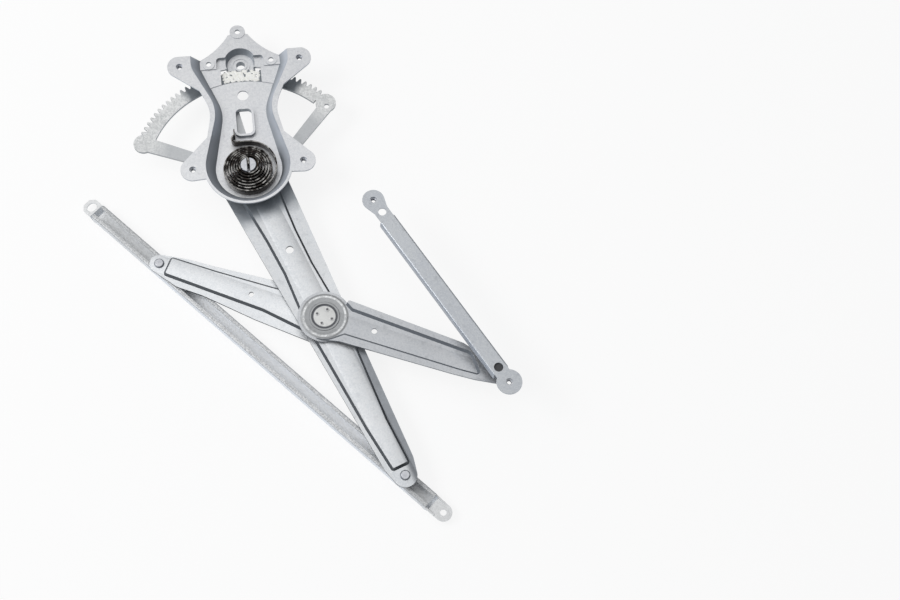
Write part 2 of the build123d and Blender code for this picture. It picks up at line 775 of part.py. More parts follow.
# ================================================================ equalizer arm, front half
front_outline = [
    (3, -2.0, 22.9),
    (20, 1.5, 22.1),
    (lift_reach - 43, 3.2, 17.1),
    (lift_reach - 20, 1.2, 13.2),
    (lift_reach, 0, front_tip_radius),
]
front_recess = [
    (0, 0, front_disc_radius + crown_run),
    (20, 2.1, 15.3),
    (lift_reach - 35, 3.3, 11.8),
    (lift_reach - 18.8, -3.6, crown_corner),
]
with BuildPart() as equalizer_front_arm:
    extrude(placed(front_level(front_bottom), tapered_bar(*front_outline)), amount=arm_sheet)
    crown(front_recess, None, front_level, front_bottom, -crown_rise)
    crown(front_recess, None, front_level, front_top, -crown_rise, -crown_wall, Mode.SUBTRACT)
    with BuildSketch(front_level(front_disc_bottom + arm_sheet)):
        with Locations(Location((front_step, 0, 0), (0, 0, -front_step_lean))):
            Rectangle(100, 100, align=(Align.MAX, Align.CENTER))
    extrude(amount=crown_rise, mode=Mode.SUBTRACT)
    # hub disc with its ridge and raised ring
    with BuildSketch(Plane(origin=(hub_x, hub_y, front_disc_bottom), x_dir=(1, 0, 0), z_dir=(0, -1, 0))):
        with BuildLine():
            Polyline(
                (0, 0),
                (front_disc_radius, 0),
                (front_disc_radius, arm_sheet),
                (hub_ridge_radius, arm_sheet + hub_ridge_rise),
                (hub_valley_radius, arm_sheet),
                (hub_ring_radius, arm_sheet),
                (hub_ring_radius - 0.5, arm_sheet + hub_ring_rise),
                (hub_ring_radius - hub_ring_width + 0.5, arm_sheet + hub_ring_rise),
                (hub_ring_radius - hub_ring_width, arm_sheet),
                (0, arm_sheet),
                close=True,
            )
        make_face()
    revolve(axis=Axis((hub_x, hub_y, 0), (0, 0, 1)))
    drill(
        front_level,
        front_top,
        crown_rise + arm_sheet,
        (front_hole_reach, 2.5, rear_hole_radius + 0.2),
        (lift_reach, 0, stud_radius),
    )
    with BuildSketch(front_level(front_disc_bottom)):
        with PolarLocations(hub_stake_circle, hub_stake_count):
            Circle(hub_stake_radius)
    extrude(amount=arm_sheet, mode=Mode.SUBTRACT)
finish(equalizer_front_arm, "equalizer_front_arm")


# ================================================================ studs and rollers
def stud_profile(head_side, seat, sheet, collar_end, pin_end):
    """Half section of a riveted roller stud; it points down from the sheet unless head_side is -1."""
    head = seat + head_side * (sheet + rivet_head_height)
    far = seat + head_side * sheet
    with BuildSketch(Plane.XZ) as section:
        with BuildLine():
            Polyline(
                (0, head),
                (rivet_head_radius - 1, head),
                (rivet_head_radius, head - head_side),
                (rivet_head_radius, far),
                (stud_radius, far),
                (stud_radius, seat),
                (stud_collar_radius, seat),
                (stud_collar_radius, collar_end),
                (stud_radius, collar_end),
                (stud_radius, pin_end),
                (0, pin_end),
                close=True,
            )
        make_face()
    return section.sketch


def roller_profile(open_end, capped_end, radius):
    """Half section of a roller with a blind bore that snaps over its stud."""
    step = 1 if capped_end > open_end else -1
    bore = stud_radius + running_clearance
    with BuildSketch(Plane.XZ) as section:
        with BuildLine():
            Polyline(
                (bore, open_end),
                (radius - 1, open_end),
                (radius, open_end + step),
                (radius, capped_end - step),
                (radius - 1, capped_end),
                (0, capped_end),
                (0, capped_end - step * stud_cap),
                (bore, capped_end - step * stud_cap),
                close=True,
            )
        make_face()
    return section.sketch


channel_floor = channel_back + channel_sheet
channel_roller_top = channel_top - channel_sheet - roller_clearance - 0.1
channel_roller_bottom = channel_floor + roller_clearance + 0.1
channel_roller_radius = channel_width / 2 - channel_sheet - roller_clearance
rail_roller_bottom = rail_lips + channel_sheet + roller_clearance + 0.1
rail_roller_top = rail_top - channel_sheet - roller_clearance - 0.1
rail_roller_radius = rail_width / 2 - channel_sheet - roller_clearance

studs = {
    "lift_stud": (lift_x, lift_y, 1, lift_bottom, channel_roller_top + roller_clearance, channel_roller_bottom),
    "left_stud": (left_x, lift_y, 1, rear_bottom, channel_roller_top + roller_clearance, channel_roller_bottom),
    "guide_stud": (guide_x, guide_y, -1, front_top, rail_roller_bottom - roller_clearance, rail_roller_top),
}
for name, (x, y, head_side, seat, collar_end, capped_end) in studs.items():
    pin_end = capped_end + head_side * (stud_cap + roller_clearance)
    with BuildPart() as stud:
        with Locations((x, y, 0)):
            add(revolve(stud_profile(head_side, seat, arm_sheet, collar_end, pin_end), Axis.Z, mode=Mode.PRIVATE))
    finish(stud, name)

rollers = {
    "lift_roller": (lift_x, lift_y, channel_roller_top, channel_roller_bottom, channel_roller_radius),
    "left_roller": (left_x, lift_y, channel_roller_top, channel_roller_bottom, channel_roller_radius),
    "guide_roller": (guide_x, guide_y, rail_roller_bottom, rail_roller_top, rail_roller_radius),
}
for name, (x, y, open_end, capped_end, radius) in rollers.items():
    with BuildPart() as roller:
        with Locations((x, y, 0)):
            add(revolve(roller_profile(open_end, capped_end, radius), Axis.Z, mode=Mode.PRIVATE))
    finish(roller, name)


# ================================================================ glass lift channel and guide rail
def c_section(plane, width, height):
    """A C section that opens along its plane's Y axis, with its back on the X axis."""
    inner_bend = channel_bend - channel_sheet
    slot = width / 2 - channel_lip
    with BuildSketch(plane) as section:
        with Locations((0, height / 2)):
            RectangleRounded(width, height, channel_bend)
            RectangleRounded(width - 2 * channel_sheet, height - 2 * channel_sheet, inner_bend, mode=Mode.SUBTRACT)
        with Locations((0, height)):
            Rectangle(2 * slot, 4 * channel_sheet, mode=Mode.SUBTRACT)
    return section.sketch


half_width = channel_width / 2
with BuildPart() as lift_channel:
    left_face = Plane(origin=(channel_left, lift_y, channel_back), x_dir=(0, 1, 0), z_dir=(1, 0, 0))
    extrude(c_section(left_face, channel_width, channel_height), amount=channel_right - channel_left)
    # stepped ends: the floor ramps up to a fixing tab, flanked at the right by low cheeks
    tab_lengths = ((channel_right, 1, tab_length - half_width), (channel_left, -1, left_tab_length))
    for end, way, reach in tab_lengths:
        with BuildSketch(Plane(origin=(0, lift_y, 0), x_dir=(1, 0, 0), z_dir=(0, -1, 0))):
            with BuildLine():
                Polyline(
                    (end - way * 3, channel_back),
                    (end, channel_back),
                    (end + way * tab_ramp, channel_back + tab_rise),
                    (end + way * reach, channel_back + tab_rise),
                    (end + way * reach, channel_back + tab_rise + channel_sheet),
                    (end + way * (tab_ramp - 0.6), channel_back + tab_rise + channel_sheet),
                    (end - way * 0.6, channel_back + channel_sheet),
                    (end - way * 3, channel_back + channel_sheet),
                    close=True,
                )
            make_face()
        extrude(amount=half_width, both=True)
    with BuildSketch(level(channel_back + tab_rise, channel_right + tab_length - half_width, lift_y)):
        Circle(half_width)
    extrude(amount=channel_sheet)
    with BuildSketch(level(channel_back + tab_rise - 0.5, 0, lift_y)):
        with Locations((channel_right + tab_length - half_width, 0)):
            Circle(tab_hole_radius)
        with Locations((channel_left - left_tab_length + left_tab_hole, 0)):
            SlotOverall(tab_slot_length, 2 * tab_slot_radius, rotation=90)
    extrude(amount=channel_sheet + 1, mode=Mode.SUBTRACT)
    tip = channel_left - left_tab_length
    for side in (1, -1):
        with BuildSketch(level(channel_back, 0, lift_y)):
            with BuildLine():
                Polyline(
                    (tip - 1, side * (half_width - left_tab_chamfer - 1)),
                    (tip + left_tab_chamfer + 1, side * (half_width + 1)),
                    (tip - 1, side * (half_width + 1)),
                    close=True,
                )
            make_face()
        extrude(amount=channel_height, mode=Mode.SUBTRACT)
    tab_top = channel_back + tab_rise + channel_sheet
    for side in (1, -1):
        outer = lift_y + side * half_width
        with BuildSketch(Plane(origin=(0, outer, 0), x_dir=(1, 0, 0), z_dir=(0, -1, 0))):
            with BuildLine():
                Polyline(
                    (channel_right - 2, channel_back + channel_bend),
                    (channel_right, channel_back + channel_bend),
                    (channel_right + tab_ramp, tab_top - 1),
                    (channel_right + channel_cheek, tab_top - 1),
                    (channel_right + channel_cheek, tab_top + 0.5 * cheek_rise),
                    (channel_right + tab_ramp, tab_top + cheek_rise),
                    (channel_right - 2, tab_top + cheek_rise + 1),
                    close=True,
                )
            make_face()
        extrude(amount=side * channel_sheet)
finish(lift_channel, "lift_channel")

with BuildPart() as guide_rail:
    upper_face = Plane(
        origin=rail_level(rail_top).from_local_coords((-rail_inner_reach, 0, 0)),
        x_dir=-rail_level(0).y_dir,
        z_dir=rail_level(0).x_dir,
    )
    extrude(c_section(upper_face, rail_width, rail_height), amount=rail_inner_reach + rail_outer_reach)
    # the web runs on past the side walls, over a neck, to a round end on each side
    ends = [(-rail_upper_nut_reach, 0, rail_upper_end_radius), (rail_lower_nut_reach, 0, rail_lower_end_radius)]
    for (x, y, radius), joint in zip(ends, (-rail_inner_reach, rail_outer_reach)):
        web = tapered_bar((x, y, radius), ((x + joint) / 2, 0, rail_neck_half), (joint, 0, rail_neck_half))
        extrude(placed(rail_level(rail_top - channel_sheet), web), amount=channel_sheet)
    drill(
        rail_level,
        rail_top,
        channel_sheet,
        *[(x, y, ear_hole_radius) for x, y, radius in ends],
        (-rail_service_reach, 0, rail_service_radius),
        (0, 0, rail_sight_radius),
    )
finish(guide_rail, "guide_rail")

for name, (x, y, radius) in zip(("upper", "lower"), ends):
    with BuildPart() as rail_nut:
        with BuildSketch(rail_level(rail_top - channel_sheet - nut_height)):
            with Locations((x, y)):
                RegularPolygon(nut_flat / 2, 6, major_radius=False)
                Circle(nut_bore_radius, mode=Mode.SUBTRACT)
        extrude(amount=nut_height)
    finish(rail_nut, f"rail_nut_{name}")
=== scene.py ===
# %% [markdown]
# # A cross-arm window regulator
#
# This mechanism lifts the glass in a car door. A small toothed wheel turns a toothed sector, the sector
# swings the lift arm, and an equalizer arm keeps the glass level. The CAD solids already hold every
# pressing, stud and roller, so this lesson gives them what the solids lack: rolled and pressed steel
# surfaces, rounded edges, screw threads and grease.

import json
import math

import bmesh
import bpy
from mathutils import Matrix, Vector


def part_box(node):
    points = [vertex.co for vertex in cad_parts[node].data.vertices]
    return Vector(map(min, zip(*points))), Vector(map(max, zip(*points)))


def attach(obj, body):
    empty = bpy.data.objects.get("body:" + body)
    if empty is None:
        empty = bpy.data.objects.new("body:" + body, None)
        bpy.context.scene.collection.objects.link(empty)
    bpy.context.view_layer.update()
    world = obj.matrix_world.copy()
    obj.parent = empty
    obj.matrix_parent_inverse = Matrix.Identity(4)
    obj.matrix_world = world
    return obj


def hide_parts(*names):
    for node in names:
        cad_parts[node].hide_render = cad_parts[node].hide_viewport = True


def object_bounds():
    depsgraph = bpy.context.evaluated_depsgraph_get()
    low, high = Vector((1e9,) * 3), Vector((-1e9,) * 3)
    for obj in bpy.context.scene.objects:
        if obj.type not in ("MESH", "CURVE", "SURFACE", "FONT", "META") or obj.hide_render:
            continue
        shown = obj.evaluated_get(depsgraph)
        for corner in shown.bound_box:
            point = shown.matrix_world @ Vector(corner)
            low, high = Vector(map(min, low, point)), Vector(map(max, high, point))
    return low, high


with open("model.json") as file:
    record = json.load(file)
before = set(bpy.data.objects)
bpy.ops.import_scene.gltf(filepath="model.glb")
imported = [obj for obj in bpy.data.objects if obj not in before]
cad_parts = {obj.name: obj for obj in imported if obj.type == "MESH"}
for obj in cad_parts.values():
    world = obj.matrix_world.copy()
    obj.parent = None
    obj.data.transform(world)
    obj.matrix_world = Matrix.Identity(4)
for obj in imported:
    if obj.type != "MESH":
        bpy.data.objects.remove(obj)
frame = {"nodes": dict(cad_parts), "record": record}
cad_box = [list(corner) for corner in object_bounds()]
nodes = frame["nodes"]
print("nodes", len(nodes), "box", cad_box)

# %% [markdown]
# ## Node sums as Python sums
#
# A surface that varies needs arithmetic on noise and masks, and so does a shape that nodes make from named
# sizes. Written node by node that is hard to read, so one small class wraps a socket. With it, a line such
# as `mask * 0.3` adds its Math node by itself.


# %% A socket that can be added and multiplied
class Field:
    """One output socket in a tree of nodes."""

    def __init__(self, owner, socket):
        self.owner = owner
        self.socket = socket

    def _math(self, operation, first, second=0.0):
        return self.owner.node("ShaderNodeMath", {"operation": operation}, slots={0: first, 1: second})

    def __add__(self, other):
        return self._math("ADD", self, other)

    def __radd__(self, other):
        return self._math("ADD", other, self)

    def __sub__(self, other):
        return self._math("SUBTRACT", self, other)

    def __rsub__(self, other):
        return self._math("SUBTRACT", other, self)

    def __mul__(self, other):
        return self._math("MULTIPLY", self, other)

    def __rmul__(self, other):
        return self._math("MULTIPLY", other, self)

    def least(self, other):
        return self._math("MINIMUM", self, other)

    def size(self):
        return self._math("ABSOLUTE", self)

    def root(self):
        return self._math("SQRT", self)

    def direction(self, other):
        """The angle of the point whose Y is this value and whose X is the other."""
        return self._math("ARCTAN2", self, other)


# %% [markdown]
# ## A tree of nodes
#
# Materials, the surround and the recipes for shapes are all trees of nodes. One class stands for a tree,
# and one method of it adds any node, so a line says what a node is, how it is set and what feeds it.
# Dragging wires in the node editor would give the same tree, but couldn't be repeated from a script.


# %% A tree, and the method that adds any node
class Nodes:
    """A tree of nodes under construction."""

    def __init__(self, tree):
        self.tree = tree

    def feed(self, slot, value):
        if isinstance(value, Field):
            self.tree.links.new(value.socket, slot)
        else:
            slot.default_value = value

    def node(self, kind, settings=None, output=0, slots=None, **sockets):
        """Add a node: its settings first, then its sockets, by name, or by number where two share a name."""
        made = self.tree.nodes.new(kind)
        for key, value in (settings or {}).items():
            setattr(made, key, value)
        for key, value in (slots or {}).items():
            self.feed(made.inputs[key], value)
        for key, value in sockets.items():
            self.feed(made.inputs[key.replace("_", " ")], value)
        return Field(self, made.outputs[output])

    def part_of(self, vector, letter):
        return self.node("ShaderNodeSeparateXYZ", output=letter, Vector=vector)

    def ramp(self, value, low, high, floor=0.0, ceiling=1.0):
        """Value stretched from low..high to floor..ceiling and held there."""
        return self.node("ShaderNodeMapRange", slots={0: value, 1: low, 2: high, 3: floor, 4: ceiling})


# %% [markdown]
# ## A finish under construction
#
# A finish is a material: a main shader, and patterns that vary its colour, gloss and relief. The patterns
# read the object's own coordinates, so they stay on the steel when the arms move. Unwrapping each pressing
# would do the same with more work, and these folded sheets need no seams if every pattern is solid in
# space.


# %% A material with named helpers
class Finish(Nodes):
    """A material under construction. `link` joins a value to a socket of its main shader."""

    def __init__(self, name):
        self.material = bpy.data.materials.new(name)
        self.material.use_nodes = True
        super().__init__(self.material.node_tree)
        self.shader = self.tree.nodes["Principled BSDF"]

    def link(self, name, value):
        self.feed(self.shader.inputs[name], value)

    def place(self, scale=(1, 1, 1), turn=0.0, centre=(0, 0, 0)):
        """Object coordinates seen from a centre, turned about Z and stretched."""
        return self.node(
            "ShaderNodeMapping",
            {"vector_type": "TEXTURE"},
            Vector=self.node("ShaderNodeTexCoord", output="Object"),
            Location=centre,
            Rotation=(0, 0, turn),
            Scale=scale,
        )

    def levelness(self):
        """1 on a level face, 0 on an upright one."""
        return self.part_of(self.node("ShaderNodeTexCoord", output="Normal"), "Z").size()

    def reach(self, centre=(0, 0, 0)):
        """How far a point is from a centre, seen from above."""
        place = self.place(centre=centre)
        x, y = self.part_of(place, "X"), self.part_of(place, "Y")
        return (x * x + y * y).root()

    def noise(self, place, scale, detail=3.0, roughness=0.5):
        """Noise of so many blotches per metre, with finer layers and a share for each next layer."""
        return self.node("ShaderNodeTexNoise", Vector=place, Scale=scale, Detail=detail, Roughness=roughness)

    def blend(self, mask, first, second):
        """Colour first where mask is 0, second where it is 1."""
        pair = [colour if isinstance(colour, Field) else (*colour, 1) for colour in (first, second)]
        return self.node("ShaderNodeMix", {"data_type": "RGBA"}, 2, {0: mask, 6: pair[0], 7: pair[1]})

    def bump(self, height, strength, distance):
        relief = self.node("ShaderNodeBump", Height=height, Strength=strength, Distance=distance)
        self.link("Normal", relief)


def shade(colour, share, tint=(1, 1, 1)):
    """A colour made darker or lighter by a share, and tinted."""
    return [min(1, channel * share * hue) for channel, hue in zip(colour, tint)]


# %% [markdown]
# ## Zinc-plated sheet
#
# The pressings are cold-rolled sheet with a thin zinc coat. Zinc is a pale, slightly blue metal that is
# neither matt nor mirror-like: its gloss changes in soft patches, a fine grain runs the way the sheet was
# rolled, and handling leaves faint dull marks. Noise, stretched along the grain where it has one, gives all
# of these.


# %% Grain, crystals and marks
def rolled_skin(finish, turn):
    """Fields for soft patches, broad clouds, grain, crystals, glints, dull marks and scratches."""
    everywhere = finish.place()
    grain_size, scratch_size = (0.012, 0.0005, 0.0005), (0.02, 0.0006, 0.02)
    scratch_turn = turn + 0.7
    patches = finish.noise(everywhere, 38, 4, 0.6)
    cloud = finish.noise(everywhere, 9, 2, 0.5)
    grain = finish.noise(finish.place(grain_size, turn), 1.0, 3, 0.7)
    crystals = finish.node("ShaderNodeTexVoronoi", output="Color", Vector=everywhere, Scale=620.0)
    spangle = finish.part_of(crystals, "X")
    glints = finish.ramp(finish.noise(everywhere, 900, 2, 0.5), 0.66, 0.72)
    marks = finish.ramp(finish.noise(everywhere, 160, 5, 0.65), 0.56, 0.72)
    scratches = finish.ramp(finish.noise(finish.place(scratch_size, scratch_turn), 1.0, 2, 0.5), 0.7, 0.76)
    return patches, cloud, grain, spangle, glints, marks, scratches


# %% [markdown]
# ## Zinc in any tone
#
# One function turns these fields into a finish. It takes a pale and a dark tone and the way of the grain
# for each pressing, gives the steep walls painted shade, a darker and bluer tone than the level faces, and
# lets a pressing add marks and painted shade of its own. An arm's crown is slightly bowed across its width
# where its solid is flat, and the relief adds that bow for the light.


# %% Zinc finish
def zinc(
    name, pale, dark, roughness=0.36, turn=0.0, metallic=0.8, slope=(0.62, 0.8), bow=None, centre=(0, 0, 0),
    shade_and_marks=None,
):
    """Rolled zinc sheet. turn is the way of its grain, and slope the painted shade and the metalness of its
    drawn walls. bow is the crown per metre and the half width that it holds for. stain paints the pressing's
    own marks and its painted shade and highlights."""
    finish = Finish(name)
    patches, cloud, grain, spangle, glints, marks, scratches = rolled_skin(finish, turn)
    tone = finish.ramp(patches * 0.3 + cloud * 0.35 + grain * 0.15 + spangle * 0.2, 0.36, 0.62)
    colour = finish.blend(tone, dark, pale)
    colour = finish.blend(marks * 0.2, colour, shade(dark, 0.7))
    # Scratches lighten the colour, and the glints are painted highlights: small pale spots in it.
    colour = finish.blend(scratches * 0.25 + glints * 0.35, colour, shade(pale, 1.3))
    flatness = finish.ramp(finish.levelness(), 0.62, 0.97)
    wall_shade_share, slope_metal = slope
    wall_shade_tint = (0.94, 0.99, 1.06)
    # Painted shade: the steep walls take a darker, bluer tone than the level faces.
    colour = finish.blend(flatness, shade(dark, wall_shade_share, wall_shade_tint), colour)
    # Each pressing's own marks, with its painted shade and highlights, go over the tone.
    for mask, overlay_colour in shade_and_marks(finish, turn, centre) if shade_and_marks else ():
        colour = finish.blend(mask, colour, overlay_colour)
    finish.link("Base Color", colour)
    finish.link("Metallic", flatness * (metallic - slope_metal) + slope_metal)
    glossiest, dullest = roughness - 0.08, roughness + 0.1
    gloss = finish.ramp(patches * 0.5 + grain * 0.3 + spangle * 0.2, 0.3, 0.7, glossiest, dullest)
    finish.link("Roughness", gloss + marks * 0.08)
    roll_depth, crystal_depth = 0.00002, 0.000004
    relief = (grain * 0.6 + patches * 0.4) * roll_depth + spangle * crystal_depth
    if bow:
        crown, half_width = bow
        across = finish.part_of(finish.place(turn=turn, centre=centre), "Y")
        relief = relief - (across * across).least(half_width**2) * crown
    finish.bump(relief, 1.0, 1.0)
    return finish.material


# %% [markdown]
# ## Painted shadow and marks on the sector and the pan
#
# The sector's rim carries a painted shadow of the pan where it lies under the pan at rest, and its spokes
# are duller than the rest. The pan's steep walls carry painted shade that darkens towards its floor. A mask
# in polar coordinates follows the rim, and one that reads height and steepness finds the walls, so neither
# needs an image map.

# %% Painted shade and marks on the sector and the pan's walls
plate_axis = math.radians(138.35)


def sector_shadow_and_spokes(finish, turn, centre):
    """Painted shadow of the pan on the rim, under the pan at rest and just beside it, and duller spokes."""
    shade_full, shade_end = math.radians(33.0), math.radians(37.0)
    rim_foot, rim_full, spoke_full, spoke_end = 0.092, 0.1, 0.09, 0.108
    place = finish.place()
    angle = finish.part_of(place, "Y").direction(finish.part_of(place, "X"))
    ragged = finish.noise(place, 60, 3, 0.6) * 0.08
    away = (angle - plate_axis).size() + ragged
    reach = finish.reach()
    rim = finish.ramp(reach, rim_foot, rim_full)
    # The pan's painted shadow on the rim.
    painted_shade = finish.ramp(away, shade_full, shade_end, 0.9, 0.0) * rim
    spokes = finish.ramp(reach + ragged * 0.1, spoke_full, spoke_end, 0.75, 0.0)
    return [(spokes, (0.44, 0.455, 0.47)), (painted_shade, (0.15, 0.17, 0.19))]


def shaded_pan_walls(finish, turn, centre):
    """Painted shade on the steep walls, darker towards the pan's floor."""
    darkest_height, clear_height = -0.0115, -0.0035
    upright = finish.ramp(finish.levelness(), 0.7, 0.95, 1.0, 0.0)
    depth = finish.ramp(finish.part_of(finish.place(), "Z"), darkest_height, clear_height, 1.0, 0.0)
    # Painted shade, deepest near the pan's floor.
    return [(upright * depth * 0.75, (0.22, 0.245, 0.27))]


# %% [markdown]
# ## Painted shade and highlights on the hub
#
# The arms cross at a hub that is held by a staked collar. Rings are painted on it: painted shade on a band,
# a painted highlight on a ridge in that band, a paler middle, and painted shade in the step where the middle
# steps down. Each of the four stakes has a dark dot of painted shade in its dent. Rings are masks on the
# distance from the hub's centre.

# %% Painted shade and highlights on the hub and its collar
hub_centre = (0.1671, -0.0668, 0)


def hub_shade_and_highlight(finish, turn, centre):
    """Painted shade on a band and in the step, a painted highlight on a ridge, and a paler middle."""
    middle, joint, ridge_inner, ridge_outer, outer = 0.0112, 0.0132, 0.0195, 0.0222, 0.0242
    soft = 0.0006
    reach = finish.reach(centre)

    def ring(inner_foot, inner_full, outer_full, outer_foot, strength=1.0):
        inside_edge = finish.ramp(reach, inner_foot, inner_full)
        return inside_edge * finish.ramp(reach, outer_full, outer_foot, strength, 0.0)

    band = ring(middle, joint, outer - soft, outer)
    groove = ring(middle - soft, middle, joint - soft, joint, 0.9)
    ridge = ring(ridge_inner, ridge_inner + soft, ridge_outer - soft, ridge_outer)
    bright = finish.ramp(reach, middle - soft, middle, 0.9, 0.0)
    mottle = finish.noise(finish.place(), 260, 4, 0.7)
    patchy_highlight = finish.ramp(mottle, 0.4, 0.6)
    # Painted shade on the band and in the step, a painted highlight on the ridge, and a paler middle.
    return [
        (band * (mottle * 0.3 + 0.5), (0.25, 0.255, 0.255)),
        (ridge * (patchy_highlight * 0.6 + 0.15), (0.85, 0.86, 0.86)),
        (bright * 0.8, (0.62, 0.62, 0.6)),
        (groove, (0.06, 0.062, 0.07)),
    ]


def stake_dent_shade(finish, turn, centre):
    """A dark dot of painted shade in the dent of each of the four stakes."""
    stake_circle, dent_radius, dent_rim = 0.0078, 0.0011, 0.0017
    place = finish.place(turn=turn, centre=centre)
    x, y = finish.part_of(place, "X").size(), finish.part_of(place, "Y").size()
    dent_shade = []
    for along, across in ((x, y), (y, x)):
        off = ((along - stake_circle) * (along - stake_circle) + across * across).root()
        # A dark dot of painted shade at each stake.
        dent_shade.append((finish.ramp(off, dent_radius, dent_rim, 0.9, 0.0), (0.05, 0.05, 0.055)))
    return dent_shade


# %% [markdown]
# ## Painted shade on the lift arm and the channel
#
# The lift arm carries painted shade along its upper edge past the hub, and a painted shadow of the pan at
# its root under the pan's rim. The channel's lips are darker and speckled, and painted shade darkens it near
# each end, against its middle. These marks follow the length of each piece, so their masks read the
# coordinate along it.


# %% Painted shade on the lift arm and the channel
def lift_arm_shade(finish, turn, centre):
    """Painted shade on the arm's upper edge past the hub, and a painted shadow of the pan on its root."""
    shade_start, shade_full = 0.19, 0.2
    edge_inner, edge_outer, edge_taper = 0.0165, 0.021, 0.035
    root_full, root_end = 0.052, 0.066
    place = finish.place(turn=turn)
    along, across = finish.part_of(place, "X"), finish.part_of(place, "Y")
    past_hub = finish.ramp(along, shade_start, shade_full)
    # Painted shade along the upper edge past the hub.
    painted_shade = past_hub * finish.ramp(along * edge_taper + across, edge_inner, edge_outer)
    ragged = finish.noise(place, 90, 2, 0.5) * 0.01
    # The pan's painted shadow on the arm's root.
    root = finish.ramp(along + ragged, root_full, root_end, 0.7, 0.0)
    return [(painted_shade * 0.85, (0.2, 0.215, 0.235)), (root, (0.2, 0.225, 0.25))]


def channel_shade_and_speckle(finish, turn, centre):
    """Darker speckled lips, and painted shade near each end."""
    lip_foot, lip_top = -0.0325, -0.0317
    left_end, left_clear, right_clear, right_end = -0.02, 0.01, 0.335, 0.345
    place = finish.place()
    along, height = finish.part_of(place, "X"), finish.part_of(place, "Z")
    speckle = finish.ramp(finish.noise(place, 700, 4, 0.7), 0.4, 0.62, 0.3, 1.0)
    lips = finish.ramp(height, lip_foot, lip_top) * speckle
    # Painted shade near each end of the channel, in patches.
    end_shade = finish.ramp(along, left_end, left_clear, 1.0, 0.0) + finish.ramp(along, right_clear, right_end)
    end_patchiness = finish.ramp(finish.noise(place, 600, 4, 0.7), 0.35, 0.62, 0.2, 0.7)
    return [(end_shade * end_patchiness, (0.6, 0.61, 0.61)), (lips * 0.8, (0.3, 0.31, 0.32))]


# %% [markdown]
# ## A finish for each pressing
#
# Each pressing came from its own strip, so its tone and the way of its grain differ a little from its
# neighbour's. The arms' grain runs along them. The channel and the rail look chalky, so they are less
# metallic. One call for each finish keeps these differences side by side.

# %% The zinc finishes
arm_slope, rail_slope = math.radians(21.8), math.radians(-13.9)
plate_grain, sector_grain = math.radians(48), math.radians(30)
plate_zinc = zinc(
    "plate_zinc", (0.77, 0.775, 0.785), (0.63, 0.64, 0.66), 0.42, plate_grain, slope=(0.92, 0.4),
    shade_and_marks=shaded_pan_walls,
)
lift_zinc = zinc(
    "lift_zinc", (0.68, 0.69, 0.7), (0.55, 0.57, 0.59), 0.38, -arm_slope, slope=(0.2, 0.85),
    bow=(9.0, 0.011), shade_and_marks=lift_arm_shade,
)
rear_zinc = zinc(
    "rear_zinc", (0.78, 0.79, 0.8), (0.64, 0.66, 0.68), 0.38, arm_slope, slope=(0.22, 0.85),
    bow=(7.0, 0.009), centre=hub_centre,
)
front_zinc = zinc(
    "front_zinc", (0.54, 0.55, 0.565), (0.41, 0.425, 0.445), 0.38, arm_slope, slope=(0.6, 0.7),
    bow=(5.0, 0.009), centre=hub_centre, shade_and_marks=hub_shade_and_highlight,
)
sector_zinc = zinc(
    "sector_zinc", (0.8, 0.805, 0.8), (0.54, 0.55, 0.55), 0.4, sector_grain, shade_and_marks=sector_shadow_and_spokes
)
channel_zinc = zinc(
    "channel_zinc", (0.96, 0.965, 0.97), (0.88, 0.885, 0.89), 0.4, 0.0, metallic=0.1, slope=(0.97, 0.08),
    shade_and_marks=channel_shade_and_speckle,
)
rail_zinc = zinc(
    "rail_zinc", (0.54, 0.56, 0.58), (0.41, 0.43, 0.46), 0.36, rail_slope, metallic=0.6, slope=(0.95, 0.3)
)
rivet_zinc = zinc("rivet_zinc", (0.62, 0.63, 0.65), (0.44, 0.45, 0.48), 0.34)
collar_zinc = zinc(
    "collar_zinc", (0.82, 0.82, 0.81), (0.66, 0.66, 0.66), 0.34, arm_slope, centre=hub_centre,
    shade_and_marks=stake_dent_shade,
)
print("finishes", [m.name for m in bpy.data.materials if m.name.endswith("zinc")])

# %% [markdown]
# ## Spring strip, bush and rollers
#
# The spring is hardened strip with a dark oiled oxide skin. Its level upper faces are painted paler in
# patches, a painted highlight for the glints along its edges. The bush is a dull sintered bronze, and the
# rollers are dark nylon, matt but a little polished. Each needs only one or two noises, so each is written
# out instead of sharing a function.

# %% Dark finishes
oxide = Finish("spring_oxide")
scale_spots = oxide.noise(oxide.place(), 220, 4, 0.6)
oil = oxide.noise(oxide.place(), 40, 3, 0.5)
highlight_spots = oxide.ramp(oxide.noise(oxide.place(), 130, 4, 0.6), 0.46, 0.6)
# Painted highlight: the level upper faces are paler in patches.
patchy_highlight = highlight_spots * oxide.ramp(oxide.levelness(), 0.4, 0.9)
skin_tone = oxide.blend(oxide.ramp(scale_spots, 0.45, 0.7), (0.012, 0.0105, 0.01), (0.045, 0.036, 0.03))
oxide.link("Base Color", oxide.blend(patchy_highlight * 0.6, skin_tone, (0.5, 0.49, 0.47)))
oxide.link("Metallic", 0.85)
oxide.link("Roughness", oxide.ramp(oil, 0.3, 0.7, 0.18, 0.36))
oxide.bump(scale_spots, 0.15, 0.0002)

bronze = Finish("bush_bronze")
pores = bronze.noise(bronze.place(), 900, 3, 0.6)
bronze_tone = bronze.blend(bronze.ramp(pores, 0.4, 0.65), (0.16, 0.13, 0.09), (0.34, 0.29, 0.2))
bronze.link("Base Color", bronze_tone)
bronze.link("Metallic", 0.9)
bronze.link("Roughness", bronze.ramp(pores, 0.3, 0.7, 0.4, 0.6))
bronze.bump(pores, 0.2, 0.0001)

